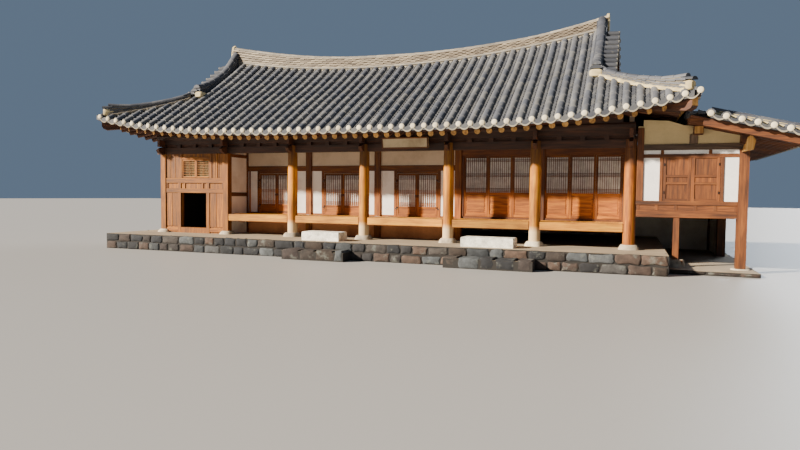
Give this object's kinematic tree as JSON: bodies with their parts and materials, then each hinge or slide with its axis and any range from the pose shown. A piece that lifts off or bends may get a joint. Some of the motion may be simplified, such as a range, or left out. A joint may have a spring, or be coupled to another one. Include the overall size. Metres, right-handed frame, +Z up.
{
  "type": "hanok house",
  "caption": "Single-storey Korean timber house with a porch, paper-lattice doors, a hip-and-gable tiled roof and a raised side wing, on a stone platform.",
  "frame": {"origin": "on the level ground under the middle of the main body, between its outer wall lines", "axes": "+X along the front to the right, towards the wing, +Y from the porch to the back, +Z up"},
  "size_m": [19.285, 9.17, 7.0145],
  "materials": {
    "stone": "rough split blocks in two courses",
    "pale_stone": "dressed pale granite",
    "timber": "aged, golden to reddish brown",
    "plaster": "matt white lime plaster between timbers",
    "tile": "unglazed grey clay tiles"
  },
  "bodies": {
    "house": {"stone_platform": "stone", "wing_base": "stone", "step_stone_left": "pale_stone", "step_stone_right": "pale_stone", "front_column_2": "timber", "front_column_3": "timber", "front_column_4": "timber", "front_column_5": "timber", "front_column_6": "timber", "front_beam": "timber", "kitchen_wall_left": "timber", "kitchen_wall_right": "timber", "kitchen_wall_over": "timber", "kitchen_window": "timber", "kitchen_side_wall": "plaster", "room_pier_1": "plaster", "room_pier_2": "plaster", "room_pier_3": "plaster", "room_head_wall": "plaster", "room_sill_wall": "timber", "hall_frame": "timber", "hall_doors_left": "timber", "hall_doors_right": "timber", "porch_floor": "timber", "room_floor": "timber", "back_wall": "plaster", "left_wall": "plaster", "right_wall": "plaster", "name_board": "timber", "wing_post_front": "timber", "wing_croft_walls": "plaster", "wing_floor": "timber", "wing_front_wall": "plaster", "wing_window": "timber", "wing_right_wall": "plaster", "wing_back_wall": "plaster", "wing_roof_frame": "timber", "wing_roof": "tile", "front_rafters": "timber", "back_rafters": "timber", "left_rafters": "timber", "right_rafters": "timber", "roof_front": "tile", "roof_back": "tile", "roof_left": "tile", "roof_right": "tile", "gable_left": "plaster", "gable_right": "plaster", "main_ridge": "tile", "ridge_front_left": "tile", "ridge_front_right": "tile", "ridge_back_left": "tile", "ridge_back_right": "tile"},
    "leaf_1_left": {"door_1_left": "timber"},
    "leaf_1_right": {"door_1_right": "timber"},
    "leaf_2_left": {"door_2_left": "timber"},
    "leaf_2_right": {"door_2_right": "timber"},
    "leaf_3_left": {"door_3_left": "timber"},
    "leaf_3_right": {"door_3_right": "timber"}
  },
  "joints": [
    {"name": "door_1_left_hinge", "type": "hinge", "parent": "house", "child": "leaf_1_left", "pos_m": [-4.1525, -1.93, 1.77], "axis": [0, 0, -1], "range_deg": [0, 100]},
    {"name": "door_1_right_hinge", "type": "hinge", "parent": "house", "child": "leaf_1_right", "pos_m": [-2.8875, -1.93, 1.77], "axis": [0, 0, 1], "range_deg": [0, 100]},
    {"name": "door_2_left_hinge", "type": "hinge", "parent": "house", "child": "leaf_2_left", "pos_m": [-1.8275, -1.93, 1.77], "axis": [0, 0, -1], "range_deg": [0, 100]},
    {"name": "door_2_right_hinge", "type": "hinge", "parent": "house", "child": "leaf_2_right", "pos_m": [-0.5625, -1.93, 1.77], "axis": [0, 0, 1], "range_deg": [0, 100]},
    {"name": "door_3_left_hinge", "type": "hinge", "parent": "house", "child": "leaf_3_left", "pos_m": [0.58, -1.93, 1.77], "axis": [0, 0, -1], "range_deg": [0, 100]},
    {"name": "door_3_right_hinge", "type": "hinge", "parent": "house", "child": "leaf_3_right", "pos_m": [1.845, -1.93, 1.77], "axis": [0, 0, 1], "range_deg": [0, 100]}
  ]
}
